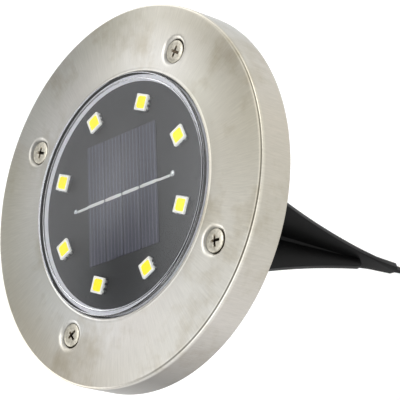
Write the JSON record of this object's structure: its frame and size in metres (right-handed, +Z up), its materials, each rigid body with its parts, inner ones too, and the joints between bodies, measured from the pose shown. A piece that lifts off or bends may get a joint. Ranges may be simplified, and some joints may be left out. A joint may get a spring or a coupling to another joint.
{
  "type": "solar garden light",
  "caption": "Round in-ground solar light: brushed steel cover ring with cross-head screws, clear lens over a ring of lights and a solar panel, on a black finned soil spike.",
  "frame": {"origin": "on the lamp's axis, in the plane of the steel rim's lower edge, which lies on the soil", "axes": "+Z up out of the soil along the lamp's axis; +X and +Y through cover screws"},
  "size_m": [0.115, 0.115, 0.13],
  "materials": {
    "ring_steel": "fine brushed stainless sheet",
    "screw_steel": "bright turned stainless",
    "clear_cap": "clear moulded polycarbonate",
    "black_rubber": "moulded rubber",
    "white_silicone": "cured silicone sealant",
    "housing_abs": "black moulded ABS, fine texture",
    "spike_abs": "black moulded ABS, semi gloss",
    "board_black": "black solder mask over glass fibre board",
    "led_frame": "white moulded light package",
    "led_phosphor": "yellow phosphor in silicone",
    "lead_tin": "tinned copper leads",
    "solar_cell": "dark blue grey silicon with fine printed fingers",
    "ribbon_tin": "tinned copper ribbon",
    "solder": "bright solder",
    "cell_can": "drawn metal can",
    "cell_sleeve": "shrunk plastic film",
    "nickel": "nickel strip",
    "red_insulation": "wire insulation",
    "black_insulation": "wire insulation",
    "chip_epoxy": "black moulded epoxy",
    "ferrite": "sintered ferrite",
    "copper": "enamelled copper wire",
    "capacitor_ceramic": "fired ceramic",
    "switch_plastic": "moulded switch case",
    "button_plastic": "red moulded push cap"
  },
  "bodies": {
    "spike": {"spike": "spike_abs"},
    "lamp_head": {"steel_ring": "ring_steel", "ring_screws": "screw_steel", "lens": "clear_cap", "lens_seal": "black_rubber", "sealant_bead": "white_silicone", "housing": "housing_abs", "led_board": "board_black", "led_bodies": "led_frame", "led_windows": "led_phosphor", "led_leads": "lead_tin", "solar_strip_1": "solar_cell", "solar_strip_2": "solar_cell", "solar_strip_3": "solar_cell", "solar_strip_4": "solar_cell", "cell_ribbons": "ribbon_tin", "ribbon_tails": "ribbon_tin", "solder_joints": "solder", "battery_can": "cell_can", "battery_sleeve": "cell_sleeve", "battery_tabs": "nickel", "positive_wire": "red_insulation", "negative_wire": "black_insulation", "driver_chip": "chip_epoxy", "driver_legs": "lead_tin", "inductor_drum": "ferrite", "inductor_coil": "copper", "chip_capacitor": "capacitor_ceramic", "switch_body": "switch_plastic", "switch_legs": "lead_tin"},
    "push_button": {"switch_plunger": "switch_plastic", "button_cap": "button_plastic"}
  },
  "joints": [
    {"name": "head_lift", "type": "slide", "parent": "spike", "child": "lamp_head", "axis": [0, 0, 1], "range_m": [0, 0.0158]},
    {"name": "button_press", "type": "slide", "parent": "lamp_head", "child": "push_button", "axis": [0, 0, 1], "range_m": [0, 0.0015], "stiffness_N_per_m": 600, "springref_m": -0.0006}
  ]
}
